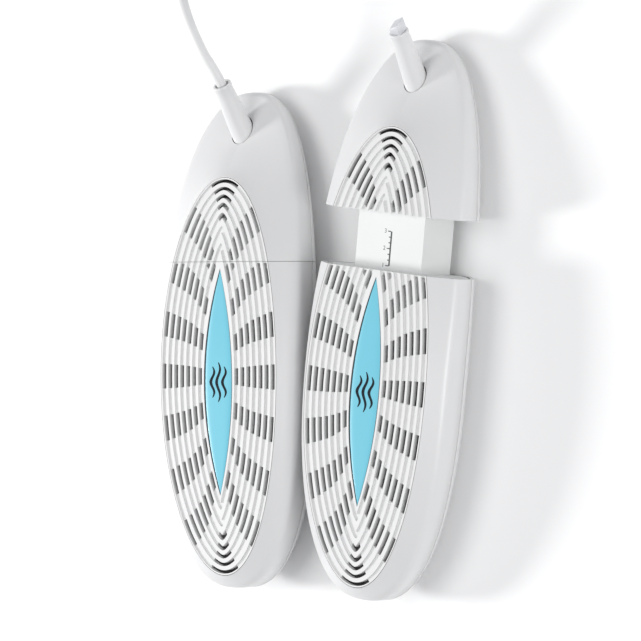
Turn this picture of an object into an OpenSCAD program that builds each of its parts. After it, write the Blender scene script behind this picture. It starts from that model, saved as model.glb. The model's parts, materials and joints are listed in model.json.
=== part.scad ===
// Pair of telescoping boot and shoe dryers: one closed, one drawn out by its full travel.
// Each dryer lies on its flat base with its heel end towards +Y and its slotted face up.
// Lengths are in millimetres.

/* [Dryer body] */
// Length of a closed dryer, toe end to heel end
body_l = 176; // [174:1:178]
// Greatest width of a dryer
body_w = 65; // [63:0.5:65]
// Height of the slotted face at its crown
face_z = 27; // [26.5:0.5:28]
// Wall thickness of the shells
wall = 1.8; // [1.6:0.1:2]
// How far a dryer draws out
travel = 20; // [16:1:20]

/* [Pair] */
// Distance between the two dryers' middles
pair_gap = 71; // [71:1:80]
// How far the second dryer lies ahead of the first
pair_lead = 16.8; // [15:0.2:17]
// Turn of the second dryer, heel end outwards
pair_turn = 6.3; // [4:0.1:6.3]

/* [Slotted face] */
// Half-length of the slotted face
face_a = 70.5; // [70:0.5:71]
// Half-width of the outermost ring of slots
ring_b = 25.35; // [25.1:0.05:25.4]
// Distance between rings of slots
ring_pitch = 2.81; // [2.78:0.01:2.81]
// Width of a slot
slot_w = 1.9; // [1.5:0.05:1.9]
// Half-width of the leaf inlay
leaf_b = 6.2; // [6:0.1:6.2]
// Half-length of the leaf inlay
leaf_a = 39.8; // [38:0.2:40]

/* [Lead] */
// Length of the tapered tube outside the shell
stem_l = 20; // [19:0.5:21]
// Rise of the tapered tube above the long axis
stem_tilt = 35; // [33:1:36]
// Diameter of the mains lead
lead_d = 3.6; // [3.4:0.1:3.6]

/* [Hidden] */
$fn = 48;

white = "white";
sky = [0.36, 0.75, 0.86];
steel = "silver";
tin = 0.01; // overlap that joins two solids of one piece

// Outline of the body, seen from above: a superellipse, longer towards the heel.
heel_y = body_l / 2;
toe_y = -body_l / 2;
wide_y = -8; // where the body is widest
blunt = 2.4; // superellipse exponent
function body_half(y) =
    let (reach = y > wide_y ? heel_y - wide_y : wide_y - toe_y, t = abs(y - wide_y) / reach)
    body_w / 2 * pow(max(0, 1 - pow(t, blunt)), 1 / blunt);

// The two sections part here, with a hair gap between them.
split_y = 27.6;
split_gap = 0.3;
heel_from = split_y + split_gap / 2;
toe_from = split_y - split_gap / 2;

// Slotted face: crowned along its length, its middle ahead of the body's.
face_y = -13;
crown_r = 711;
plate_b = 27; // half-width of the face plates
function face_half(y) = plate_b * sqrt(max(0, 1 - pow((y - face_y) / face_a, 2)));
function crown(y) = face_z - crown_r + sqrt(pow(crown_r, 2) - pow(y - face_y, 2));

// Height of the shell's edge, which falls towards the heel, and of the seam below it.
edge_z = 21.5;
heel_fall = 0.0012;
toe_fall = 0.0004;
function rim_z(y) = edge_z - (y > face_y ? heel_fall : toe_fall) * pow(y - face_y, 2);
seam_share = 0.62;
function seam_z(y) = seam_share * rim_z(y);
// Profile of the bottom shell from the seam to the flat base: how far inside the outline, and
// at what share of the seam's height.
low_line = [[0, 1], [1.6, 0.75], [6.4, 0.28], [10.4, 0]];
low_floor = [[0, 0], [0, 0], [-0.36, 0.8], [-1.2, 1]]; // inner profile: change of inset, rise in walls

// One section's U-shaped run of stations, from the split round the end and back.
half_steps = 24;
function stations(to) = [for (i = [-half_steps:half_steps]) sign(to) * i / half_steps];
function side(t) = t < 0 ? -1 : 1;
// Station t of a run from y = from to y = to: dense where the outline turns.
function run_y(t, from, to) = from + (to - from) * sin(90 * (1 - abs(t)));
// The point of an outline that a station lies on, drawn in by d.
function body_pt(t, from, to, d) =
    let (y = run_y(t, from, to), k = (to - sign(to) * d - from) / (to - from))
    [side(t) * body_half(y) * (1 - 2 * d / body_w) * (abs(t) < tin ? 0 : 1), from + (y - from) * k];
function plate_pt(t, from, to) =
    let (y = run_y(t, from, to)) [side(t) * face_half(y) * (abs(t) < tin ? 0 : 1), y];
function mix2(a, b, u) = a + (b - a) * u;
function at_z(p, z) = [p[0], p[1], z];

// Heel scoop: the roof dips behind the face plate and rises again at the heel's lip.
scoop = 2.2;
function roof_z(o, g, u, dip) =
    let (low = rim_z(o[1]), high = crown(g[1])) low + (high - low) * u - dip * sin(180 * u);

// Closed section loop of a top shell at station t: up the wall, over the edge, along the roof
// to the face plate's border, and back inside.
round_edge = 0.7;
edge_drop = 1.12; // the wall ends and the rounded edge begins this far below the roof
inner_drop = 2.25;
roof_at = [0.02, 0.3, 0.6]; // where the roof's section has points, from the edge to the face plate
function top_loop(t, from, to, plate_to, dip) =
    let (o = body_pt(t, from, to, 0), o1 = body_pt(t, from, to, round_edge),
         i = body_pt(t, from, to, wall), g = plate_pt(t, from, plate_to),
         lean = dip * pow(1 - abs(t), 2))
    concat(
        [at_z(o, seam_z(o[1])), at_z(o, rim_z(o[1]) - edge_drop)],
        [for (u = roof_at) at_z(mix2(o1, g, u), roof_z(o, g, u, lean))],
        [at_z(g, crown(g[1])), at_z(g, crown(g[1]) - wall)],
        [for (j = [2:-1:0]) at_z(mix2(i, g, roof_at[j]), roof_z(o, g, roof_at[j], lean) - wall)],
        [at_z(i, rim_z(o[1]) - inner_drop), at_z(i, seam_z(o[1]))]
    );
// Section of a bottom shell at station t: down the outside, and up the inside.
seam_gap = 0.1;
function low_z(t, from, to, share) = share * (seam_z(body_pt(t, from, to, 0)[1]) - seam_gap);
function low_outer(t, from, to) =
    [for (l = low_line) at_z(body_pt(t, from, to, l[0]), low_z(t, from, to, l[1]))];
function low_inner(t, from, to) =
    [for (i = [3:-1:0]) let (l = low_line[i], f = low_floor[i])
        at_z(body_pt(t, from, to, l[0] + f[0] + wall), low_z(t, from, to, l[1]) + f[1] * wall)];

// A solid swept through closed loops of equal length. Its caps join each point of the first half
// of a loop to the one that mirrors it in the second half.
module swept(loops) {
    n = len(loops[0]);
    last = len(loops) - 1;
    cap = [for (j = [0:n / 2 - 2]) each [[j, j + 1, n - 2 - j], [j, n - 2 - j, n - 1 - j]]];
    polyhedron(
        points = [for (l = loops) each l],
        faces = concat(
            cap,
            [for (f = cap) [for (i = [2:-1:0]) last * n + f[i]]],
            [for (i = [0:last - 1]) for (j = [0:n - 1]) each
                let (a = i * n + j, b = i * n + (j + 1) % n, c = a + n, d = b + n)
                [[a, c, b], [b, c, d]]]
        ),
        convexity = 6
    );
}
// A tray: outer and inner runs of the same stations, with a flat base and a flat floor.
module tray(outer, inner) {
    k = len(outer[0]);
    n = 2 * k;
    last = len(outer) - 1;
    both = [for (i = [0:last]) concat(outer[i], inner[i])];
    function pt(i, j) = i * n + j;
    function flip(f) = [for (i = [len(f) - 1:-1:0]) f[i]];
    sides = [for (i = [0:last - 1]) for (j = [0:n - 1]) if (j != k - 1) each
        let (a = pt(i, j), b = pt(i, (j + 1) % n), c = a + n, d = b + n) [[a, c, b], [b, c, d]]];
    // The base and the floor join each station to the one facing it.
    function across(j) = [for (i = [0:last / 2 - 1]) each
        let (a = pt(i, j), b = pt(i + 1, j), c = pt(last - 1 - i, j), d = pt(last - i, j))
        i + 1 == last / 2 ? [[a, b, d]] : [[a, b, c], [a, c, d]]];
    function cap(i) = [for (j = [0:k - 2]) each
        let (a = pt(i, j), b = pt(i, j + 1), c = pt(i, n - 2 - j), d = pt(i, n - 1 - j))
        [[a, b, c], [a, c, d]]];
    polyhedron(
        points = [for (l = both) each l],
        faces = concat(
            sides, across(k - 1), [for (f = across(k)) flip(f)],
            cap(0), [for (f = cap(last)) flip(f)],
            [[pt(0, k - 1), pt(last, k - 1), pt(last, k)], [pt(0, k - 1), pt(last, k), pt(0, k)]]
        ),
        convexity = 6
    );
}

// Case screws pass a pad on the base and bite into bosses held off the side wall by ribs.
screw_r = 1.25;
screw_head_r = 2.3;
screw_head_h = 1.6;
pad_r = 2.8;
pad_h = 4;
boss_r = 2.4;
rib_w = 1.4;
rib_lift = 0.5; // from the seam to the ribs
boss_drop = 3; // from the shell's edge down to the bosses' tops
screw_play = 0.2;
head_z = 0.6; // the heads lie sunk in the base
heel_screw_at = [[-18, 36], [18, 36], [-7.5, 68], [7.5, 68]];
toe_screw_at = [[-18, 12], [18, 12], [-12, -58], [12, -58]];
heel_vent_at = [40, 46, 52];
toe_vent_at = [-72, -66, 2];
function boss_top(y) = rim_z(y) - boss_drop;
module bosses(places) {
    for (p = places) {
        y = p[1];
        low = seam_z(y) + rib_lift;
        difference() {
            union() {
                translate([p[0], y, pad_h]) cylinder(r = boss_r, h = boss_top(y) - pad_h);
                mirror([p[0] < 0 ? 1 : 0, 0, 0]) translate([abs(p[0]), y - rib_w / 2, low])
                    cube([body_half(y) - wall / 2 - abs(p[0]), rib_w, boss_top(y) - low]);
            }
            translate([p[0], y, pad_h - 1]) cylinder(r = screw_r, h = boss_top(y));
        }
    }
}
module case_screws(places) {
    for (p = places) translate([p[0], p[1], head_z]) {
        cylinder(r = screw_head_r, h = screw_head_h);
        cylinder(r = screw_r, h = boss_top(p[1]) - 1 - head_z);
    }
}

// Bottom shell of a section, with its screw pads and its row of air inlets.
vent_w = 1.6;
vent_l = 16;
module bottom_shell(from, to, places, vents) {
    difference() {
        union() {
            tray(
                [for (t = stations(-to)) low_outer(t, from, to)],
                [for (t = stations(-to)) low_inner(t, from, to)]
            );
            for (p = places) translate([p[0], p[1], wall / 2]) cylinder(r = pad_r, h = pad_h - wall / 2);
        }
        for (p = places) translate([p[0], p[1], -1]) {
            cylinder(r = screw_head_r + screw_play, h = 1 + head_z + screw_head_h);
            cylinder(r = screw_r + screw_play, h = pad_h + 2);
        }
        for (y = vents) translate([-vent_l / 2, y, -1]) cube([vent_l, vent_w, wall + 2]);
    }
}

// Concentric rings of slots: round ellipses outside, pointed leaves inside.
tip_steps = [0, 2.65, 5.4, 8.4, 12.2, 17.2, 23.3]; // how far each ring's tip lies inside the face's
ring_n = len(tip_steps);
slot_share = [-0.8, -0.54, -0.267, 0, 0.267, 0.54, 0.8]; // slot middles, as shares of a ring's half-length
slot_reach = 0.064; // half a slot's length, as a share of a ring's half-length
tip_half = [5.4, 4.5, 3.7, 2.5, 1.5]; // half-widths of the slots across the tips
tip_slot_w = 1.2; // width of those slots
tip_rim = 1.3; // from the face's tip to the middle of the first of them
slot_edge = 1.2; // plate left between a slot and the split
least_slot = 2; // shorter remains of a slot at the split are left closed
function ring_a(k) = face_a - tip_rim - tip_steps[k];
function ring_half(k, y) =
    (ring_b - k * ring_pitch) * pow(max(0, 1 - pow((y - face_y) / ring_a(k), 2)), 0.5 + 0.06 * k);
function ring_tip(k, x) = // inverse of ring_half
    ring_a(k) * sqrt(1 - pow(abs(x) / (ring_b - k * ring_pitch), 1 / (0.5 + 0.06 * k)));
module ring_slots(low, high) {
    for (k = [0:ring_n - 1]) for (f = slot_share) {
        a = ring_a(k);
        y0 = max(low + slot_edge, face_y + (f - slot_reach) * a);
        y1 = min(high - slot_edge, face_y + (f + slot_reach) * a);
        ys = [y0, (y0 + y1) / 2, y1];
        if (y1 - y0 > least_slot) for (m = [0, 1]) mirror([m, 0, 0]) polygon(concat(
            [for (y = ys) [ring_half(k, y) + slot_w / 2, y]],
            [for (i = [2:-1:0]) [ring_half(k, ys[i]) - slot_w / 2, ys[i]]]
        ));
    }
}
module tip_slots(end) { // end is 1 at the heel's tips and -1 at the toe's
    for (k = [0:len(tip_half) - 1]) {
        xs = [for (i = [-3:3]) tip_half[k] * i / 3];
        polygon(concat(
            [for (x = xs) [x, face_y + end * (ring_tip(k, x) + tip_slot_w / 2)]],
            [for (i = [6:-1:0]) [xs[i], face_y + end * (ring_tip(k, xs[i]) - tip_slot_w / 2)]]
        ));
    }
}
function leaf_half(y, b, a) = b * max(0, 1 - pow((y - leaf_y) / a, 2));
leaf_y = -15;
leaf_gap = 0.25;
module leaf_shape(b, a) {
    ys = [for (i = [-8:8]) leaf_y + a * sin(90 * i / 8)];
    polygon(concat(
        [for (y = ys) [leaf_half(y, b, a), y]],
        [for (i = [15:-1:1]) [-leaf_half(ys[i], b, a), ys[i]]]
    ));
}
// The curved slab between the crown lowered by top and the crown lowered by bottom.
module crown_slab(top, bottom) {
    translate([0, face_y, face_z - crown_r]) rotate([0, 90, 0]) difference() {
        cylinder(r = crown_r - top, h = 2 * body_w, center = true, $fn = 360);
        cylinder(r = crown_r - bottom, h = 3 * body_w, center = true, $fn = 360);
    }
}
fit = 0.15; // clearance round the plates
module plate_shape(low, high) {
    steps = 24;
    ys = [for (i = [0:steps]) low + (high - low) * (low < face_y ? sin(90 * (i / steps - 1)) + 1
        : sin(90 * i / steps))];
    polygon(concat(
        [for (y = ys) [max(0, face_half(y) - fit), y]],
        [for (i = [steps:-1:0]) [-max(0, face_half(ys[i]) - fit), ys[i]]]
    ));
}
module grille(low, high, end) {
    intersection() {
        crown_slab(0, wall);
        translate([0, 0, face_z / 2]) linear_extrude(face_z) difference() {
            plate_shape(low, high);
            ring_slots(low, high);
            tip_slots(end);
            if (end < 0) leaf_shape(leaf_b + leaf_gap, leaf_a + leaf_gap);
        }
    }
}

// The sleeve the sections telescope on: a box tube with two low runners behind it.
sleeve_w = 29.7;
sleeve_top = 20;
sleeve_low = 4;
sleeve_wall = 1.6;
sleeve_from = 10;
sleeve_to = 48;
runner_to = 62;
runner_h = 7;
runner_w = 4;
run_fit = 0.35;
// End frames: the guide the sleeve slides in, and the collar it is fixed in.
frame_t = 2.2;
frame_gap = 0.35; // from the frame to the inside of the shell
collar_fit = 0.05;
step_up = [0, 0, 0.5, 1]; // how far each corner below the seam moves up, as a share of the inset
function section_line(y, d) = // half the cross-section at y, drawn in by d
    let (w = body_half(y) - d, g = face_half(y), z = seam_z(y))
    concat(
        [for (i = [3:-1:0]) [w - low_line[i][0], low_line[i][1] * z + step_up[i] * d]],
        [[w, rim_z(y) - 1.2 * d], [g - d / 2, crown(y) - 1.5 * d]]
    );
module end_frame(y, room) {
    line = section_line(y, wall + frame_gap);
    half = len(line);
    translate([0, y + frame_t, 0]) rotate([90, 0, 0]) linear_extrude(frame_t) difference() {
        polygon(concat(line, [for (i = [half - 1:-1:0]) [-line[i][0], line[i][1]]]));
        translate([-sleeve_w / 2 - room, sleeve_low - room])
            square([sleeve_w + 2 * room, sleeve_top - sleeve_low + 2 * room]);
    }
}

// The heater pack lies under the leaf, along the toe section.
pack_y = -20;
pack_l = 50;
pack_w = 15;
stone_l = 13;
stone_h = 2.4;
plate_t = 0.5;
fin_h = 5;
fin_t = 0.5;
fin_pitch = 2.75;
fin_n = 18;
pack_z = 6.4; // underside of the lower fins
low_plate_z = pack_z + fin_h;
stone_z = low_plate_z + plate_t;
high_plate_z = stone_z + stone_h;
high_fin_z = high_plate_z + plate_t;
pack_gap = 0.3;
bracket_side = 2;
bracket_end = 3;
fin_base = 0.8;
fin_first = 1.2; // from the pack's end to its first fin
stone_gap = 2;
stone_inset = 1.5;

// The lead's tube leaves the roof at stem_root and rises along the middle plane.
stem_root = [0, 74, 13.6];
stem_in = 9; // length of the tube inside the shell
stem_r = 4.3;
stem_tip_r = 3.4;
stem_play = 0.35; // clearance of the hole in the shell
bore_r = 1.2; // for the wires
mouth_r = 2.5; // the tube's open mouth, which the lead enters
mouth_d = 3;
// Square connector end that stands in the second dryer's mouth, and the slant of its cut.
connector_w = 4.4;
connector_h = 5.5;
connector_cut = 35;
lead_r = lead_d / 2;
module along_stem() {
    translate(stem_root) rotate([stem_tilt - 90, 0, 0]) children();
}

// Where the two dryers lie. The origin is on the surface, under the middle of the pair's box.
function placed(p) = [
    pair_gap + p[0] * cos(pair_turn) + p[1] * sin(pair_turn),
    pair_lead - p[0] * sin(pair_turn) + p[1] * cos(pair_turn)
];
edge_steps = 180;
outline = [for (m = [-1, 1]) for (i = [0:edge_steps])
    let (y = toe_y + body_l * i / edge_steps) [m * body_half(y), y]];
right_line = [for (p = outline) placed([p[0], p[1] - (p[1] < toe_from ? travel : 0)])];
tip_reach = stem_root[1] + (stem_l + connector_h) * cos(stem_tilt);
pair_low = [-body_w / 2, min([for (p = right_line) p[1]])];
pair_high = [max([for (p = right_line) p[0]]), placed([0, tip_reach])[1]];
middle = (pair_low + pair_high) / 2;
module on_base() {
    translate([-middle[0], -middle[1], 0]) children();
}
module left_dryer() {
    on_base() children();
}
module right_dryer() {
    on_base() translate([pair_gap, pair_lead, 0]) rotate(-pair_turn) children();
}
module right_toe() {
    right_dryer() translate([0, -travel, 0]) children();
}

// Lead of the left dryer: an arch from the tube's mouth down to the surface, then a coil.
lead_route = [
    [0, 88.1, 23.5], [0, 91.2, 25.7], [-0.9, 95.5, 28.3], [-3.2, 101, 30.9], [-7, 109, 32.3],
    [-11.5, 117, 31.4], [-16.5, 125, 28.2], [-20.8, 132, 23.2], [-23.8, 139, 17], [-25.5, 146, 10.5],
    [-26, 152, 6], [-26, 157, 3.6], [-26, 161, 2.9]
];
coil_at = [-2.4, 160];
coil_mid_r = 20;
coil_wide = 3; // turns side by side
coil_high = 4; // turns on top of each other
coil_z = 1; // underside of the coil, which lies on its tie
tail_route = [
    [-2.4, 183.6, 13.6], [4, 183.8, 13.3], [10, 184, 11.8], [16, 184.2, 10], [22, 184.2, 9],
    [26.5, 184.2, 8.8]
];
plug_at = [26, 184.2, 8.8]; // where the lead enters the plug
module heel_top_shell() {
    color(white) {
        difference() {
            swept([for (t = stations(heel_y)) top_loop(t, heel_from, heel_y, face_y + face_a, scoop)]);
            along_stem() cylinder(r = stem_r + stem_play, h = 3 * stem_in, center = true);
        }
        bosses(heel_screw_at);
    }
}
module toe_top_shell() {
    color(white) {
        swept([for (t = stations(toe_y)) top_loop(t, toe_from, toe_y, face_y - face_a, 0)]);
        bosses(toe_screw_at);
    }
}
module heel_bottom_shell() {
    color(white) bottom_shell(heel_from, heel_y, heel_screw_at, heel_vent_at);
}
module toe_bottom_shell() {
    color(white) bottom_shell(toe_from, toe_y, toe_screw_at, toe_vent_at);
}
module heel_grille() {
    color(white) grille(heel_from, face_y + face_a - fit, 1);
}
module toe_grille() {
    color(white) grille(face_y - face_a + fit, toe_from, -1);
}
module heel_guide() {
    color(white) end_frame(heel_from, run_fit);
}
module toe_collar() {
    color(white) end_frame(toe_from - frame_t, collar_fit);
}
module heel_screws() {
    color(steel) case_screws(heel_screw_at);
}
module toe_screws() {
    color(steel) case_screws(toe_screw_at);
}
module leaf_inlay() {
    color(sky) intersection() {
        crown_slab(0.5, wall);
        translate([0, 0, face_z / 2]) linear_extrude(face_z) leaf_shape(leaf_b, leaf_a);
    }
}
module slide_sleeve() {
    color(white) {
        difference() {
            translate([-sleeve_w / 2, sleeve_from, sleeve_low])
                cube([sleeve_w, sleeve_to - sleeve_from, sleeve_top - sleeve_low]);
            translate([-sleeve_w / 2 + sleeve_wall, sleeve_from - 1, sleeve_low + sleeve_wall])
                cube([sleeve_w - 2 * sleeve_wall, sleeve_to - sleeve_from + 2,
                      sleeve_top - sleeve_low - 2 * sleeve_wall]);
        }
        for (m = [0, 1]) mirror([m, 0, 0])
            translate([sleeve_w / 2 - runner_w, sleeve_to - tin, sleeve_low])
                cube([runner_w, runner_to - sleeve_to, runner_h]);
    }
}
module heater_bracket() {
    color([0.2, 0.2, 0.2]) difference() {
        translate([-pack_w / 2 - bracket_side, pack_y - pack_l / 2 - bracket_end, wall])
            cube([pack_w + 2 * bracket_side, pack_l + 2 * bracket_end, low_plate_z - wall]);
        translate([-pack_w / 2 - pack_gap, pack_y - pack_l / 2 - pack_gap, pack_z])
            cube([pack_w + 2 * pack_gap, pack_l + 2 * pack_gap, fin_h + 1]);
        translate([-pack_w / 2 + bracket_side, pack_y - pack_l / 2 + bracket_end, 0])
            cube([pack_w - 2 * bracket_side, pack_l - 2 * bracket_end, pack_z + 1]);
    }
}
module fin_pack(z, up) {
    base_z = up > 0 ? z : z + fin_h - fin_base;
    translate([-pack_w / 2, pack_y - pack_l / 2, base_z]) cube([pack_w, pack_l, fin_base]);
    for (i = [0:fin_n - 1])
        translate([-pack_w / 2, pack_y - pack_l / 2 + fin_first + i * fin_pitch, z])
            cube([pack_w, fin_t, fin_h]);
}
module heat_fins() {
    color(steel) {
        fin_pack(pack_z, -1);
        fin_pack(high_fin_z, 1);
    }
}
module ptc_stones() {
    color("dimgray") for (i = [-1:1])
        translate([-pack_w / 2 + stone_inset, pack_y + i * (stone_l + stone_gap) - stone_l / 2, stone_z])
            cube([pack_w - 2 * stone_inset, stone_l, stone_h]);
}
tab_w = 4;
tab_l = 6;
tab_x = 4;
module electrode_plates() {
    color(steel) for (p = [[low_plate_z, -1], [high_plate_z, 1]]) {
        translate([-pack_w / 2, pack_y - pack_l / 2, p[0]]) cube([pack_w, pack_l, plate_t]);
        translate([p[1] * tab_x - tab_w / 2, pack_y + pack_l / 2 - tin, p[0]])
            cube([tab_w, tab_l, plate_t]);
    }
}
fuse_r = 2;
fuse_l = 11;
fuse_x = 14;
fuse_z = 9;
fuse_y = pack_y + 6;
fuse_wire_r = 0.5;
fuse_wire_l = 6;
module thermal_fuse() {
    color("silver") translate([fuse_x, fuse_y, fuse_z]) rotate([-90, 0, 0]) {
        cylinder(r = fuse_r, h = fuse_l);
        translate([0, 0, -fuse_wire_l]) cylinder(r = fuse_wire_r, h = fuse_l + 2 * fuse_wire_l);
    }
}
wire_r = 0.9;
// A tube of eight sides swept along a route.
module tube(route, r) {
    sides = 8;
    last = len(route) - 1;
    function unit(v) = v / norm(v);
    rings = [for (i = [0:last])
        let (d = unit(route[min(i + 1, last)] - route[max(i - 1, 0)]),
             u = unit(cross(d, [0.2, 0, 1])), v = cross(d, u))
        [for (k = [0:sides - 1]) route[i] + r * (cos(360 * k / sides) * u + sin(360 * k / sides) * v)]];
    swept(rings);
}
// Wires from the heater's plates, and from the mains lead past the cord clamp.
low_wire = [[-tab_x, 8, low_plate_z + plate_t + wire_r], [-4, 20, 12], [-4, 32, 11], [-5, 44, 10]];
high_wire = [[tab_x, 8, high_plate_z + plate_t + wire_r], [4, 20, 14], [4, 32, 13], [5, 44, 12]];
clamp_y = 57;
clamp_w = 18;
clamp_t = 3;
clamp_h = 13.5;
wire_x = 2.5; // where the wires pass the clamp
wire_z = 10;
wire_play = 0.6;
function lead_wire(m) =
    [[m * 1.2, 65.2, 8.2], [m * wire_x, 62.6, 9.6], [m * wire_x, 56, wire_z], [m * 3, 50, 10.6]];
module toe_leads() {
    color("dimgray") for (route = [low_wire, high_wire]) tube(route, wire_r);
}
module heel_leads() {
    color("dimgray") for (m = [-1, 1]) tube(lead_wire(m), wire_r);
}
module cord_clamp() {
    color(white) difference() {
        translate([-clamp_w / 2, clamp_y, wall]) cube([clamp_w, clamp_t, clamp_h]);
        for (m = [-1, 1]) translate([m * wire_x, clamp_y - 1, wire_z]) rotate([-90, 0, 0])
            cylinder(r = wire_r + wire_play, h = clamp_t + 2);
    }
}
module stem_tube() {
    color(white) along_stem() difference() {
        union() {
            cylinder(r1 = stem_r, r2 = stem_tip_r, h = stem_l);
            translate([0, 0, -stem_in]) cylinder(r = stem_r, h = stem_in + tin);
        }
        translate([0, 0, stem_l - mouth_d]) cylinder(r = mouth_r, h = mouth_d + 1);
        translate([0, 0, -stem_in - 1]) cylinder(r = bore_r, h = stem_l + stem_in + 2);
    }
}
module connector_tip() {
    w = connector_w;
    top = mouth_d + connector_h;
    color([0.75, 0.8, 0.9, 0.6]) along_stem() translate([0, 0, stem_l - mouth_d]) difference() {
        translate([-w / 2, -w / 2, 0]) cube([w, w, top]);
        translate([0, 0, top]) rotate([connector_cut, 0, 0]) translate([-w, -2 * w, 0])
            cube([2 * w, 4 * w, connector_h]);
        difference() { // the part inside the mouth is turned round to fit it
            translate([0, 0, -tin]) cylinder(r = 2 * w, h = mouth_d + tin);
            translate([0, 0, -1]) cylinder(r = mouth_r - 0.05, h = mouth_d + 2);
        }
    }
}

module mains_lead() {
    color(white) on_base() tube(lead_route, lead_r);
}
module lead_tail() {
    color(white) on_base() tube(tail_route, lead_r);
}
coil_w = coil_wide * lead_d;
coil_h = coil_high * lead_d;
// The coil's section, or the tie's outline round it: further out on the inside, where the ring bends.
module coil_section(inside, round) {
    translate([coil_mid_r - coil_w / 2 - inside, coil_z - round])
        square([coil_w + inside + round, coil_h + 2 * round]);
}
module lead_coil() {
    color(white) on_base() translate(coil_at) rotate_extrude() coil_section(0, 0);
}
tie_t = 0.8;
tie_w = 8;
tie_turn = -60;
tie_room = 0.8; // room inside the ring, where the tie is straight and the ring bends
tie_gap = 0.1;
module coil_tie() {
    color("dimgray") on_base() translate(coil_at) rotate(tie_turn) translate([0, tie_w / 2, 0])
        rotate([90, 0, 0]) linear_extrude(tie_w) difference() {
            coil_section(tie_room + tie_t, tie_gap + tie_t);
            coil_section(tie_room, tie_gap);
        }
}
plug_l = 30;
plug_w = 24;
plug_t = 16;
plug_relief = 10;
relief_r = [2.9, 4.5];
lead_play = 0.1;
module plug_body() {
    color(white) on_base() translate(plug_at) {
        rotate([0, 90, 0]) difference() {
            cylinder(r1 = relief_r[0], r2 = relief_r[1], h = plug_relief);
            translate([0, 0, -1]) cylinder(r = lead_r + lead_play, h = 2);
        }
        translate([plug_relief, 0, 0]) rotate([90, 0, 90]) linear_extrude(plug_l - plug_relief)
            hull() for (m = [-1, 1]) translate([m * (plug_w - plug_t) / 2, 0]) circle(d = plug_t, $fn = 32);
    }
}
blade_gap = 12.7;
blade_l = 17;
blade_w = 6.35;
blade_t = 1.5;
module plug_blades() {
    color(steel) on_base() for (m = [-1, 1])
        translate(plug_at + [plug_l, m * blade_gap / 2 - blade_t / 2, -blade_w / 2])
            cube([blade_l, blade_t, blade_w]);
}

left_dryer() heel_top_shell();  // left_heel_top_shell
left_dryer() heel_bottom_shell();  // left_heel_bottom_shell
left_dryer() heel_grille();  // left_heel_grille
left_dryer() heel_guide();  // left_heel_guide
left_dryer() stem_tube();  // left_stem_tube
left_dryer() cord_clamp();  // left_cord_clamp
left_dryer() heel_leads();  // left_heel_leads
left_dryer() heel_screws();  // left_heel_screws
left_dryer() toe_top_shell();  // left_toe_top_shell
left_dryer() toe_bottom_shell();  // left_toe_bottom_shell
left_dryer() toe_grille();  // left_toe_grille
left_dryer() toe_collar();  // left_toe_collar
left_dryer() leaf_inlay();  // left_leaf_inlay
left_dryer() slide_sleeve();  // left_slide_sleeve
left_dryer() heater_bracket();  // left_heater_bracket
left_dryer() heat_fins();  // left_heat_fins
left_dryer() ptc_stones();  // left_ptc_stones
left_dryer() electrode_plates();  // left_electrode_plates
left_dryer() thermal_fuse();  // left_thermal_fuse
left_dryer() toe_leads();  // left_toe_leads
left_dryer() toe_screws();  // left_toe_screws
right_dryer() heel_top_shell();  // right_heel_top_shell
right_dryer() heel_bottom_shell();  // right_heel_bottom_shell
right_dryer() heel_grille();  // right_heel_grille
right_dryer() heel_guide();  // right_heel_guide
right_dryer() stem_tube();  // right_stem_tube
right_dryer() cord_clamp();  // right_cord_clamp
right_dryer() heel_leads();  // right_heel_leads
right_dryer() heel_screws();  // right_heel_screws
right_dryer() connector_tip();  // right_connector_tip
right_toe() toe_top_shell();  // right_toe_top_shell
right_toe() toe_bottom_shell();  // right_toe_bottom_shell
right_toe() toe_grille();  // right_toe_grille
right_toe() toe_collar();  // right_toe_collar
right_toe() leaf_inlay();  // right_leaf_inlay
right_toe() slide_sleeve();  // right_slide_sleeve
right_toe() heater_bracket();  // right_heater_bracket
right_toe() heat_fins();  // right_heat_fins
right_toe() ptc_stones();  // right_ptc_stones
right_toe() electrode_plates();  // right_electrode_plates
right_toe() thermal_fuse();  // right_thermal_fuse
right_toe() toe_leads();  // right_toe_leads
right_toe() toe_screws();  // right_toe_screws
mains_lead();
lead_coil();
lead_tail();
coil_tie();
plug_body();
plug_blades();
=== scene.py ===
import json
import math

import bmesh
import bpy
from mathutils import Matrix, Vector


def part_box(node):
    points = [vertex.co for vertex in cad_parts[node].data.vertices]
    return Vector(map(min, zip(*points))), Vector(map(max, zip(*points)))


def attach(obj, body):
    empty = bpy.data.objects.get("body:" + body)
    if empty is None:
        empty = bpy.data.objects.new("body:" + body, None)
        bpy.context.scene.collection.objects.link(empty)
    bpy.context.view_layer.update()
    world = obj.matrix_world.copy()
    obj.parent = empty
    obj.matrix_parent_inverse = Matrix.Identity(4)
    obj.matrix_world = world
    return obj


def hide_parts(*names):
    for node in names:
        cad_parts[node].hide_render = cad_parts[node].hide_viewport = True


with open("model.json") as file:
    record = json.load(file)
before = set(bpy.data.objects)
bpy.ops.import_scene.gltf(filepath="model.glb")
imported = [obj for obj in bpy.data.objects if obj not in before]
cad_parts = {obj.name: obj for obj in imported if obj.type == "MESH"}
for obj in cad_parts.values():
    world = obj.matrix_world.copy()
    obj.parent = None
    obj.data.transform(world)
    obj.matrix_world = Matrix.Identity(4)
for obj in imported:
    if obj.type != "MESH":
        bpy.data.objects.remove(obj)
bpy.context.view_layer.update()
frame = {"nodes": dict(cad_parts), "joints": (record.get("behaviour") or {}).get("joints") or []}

MM = 0.001
SIDES = ("left", "right")

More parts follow.
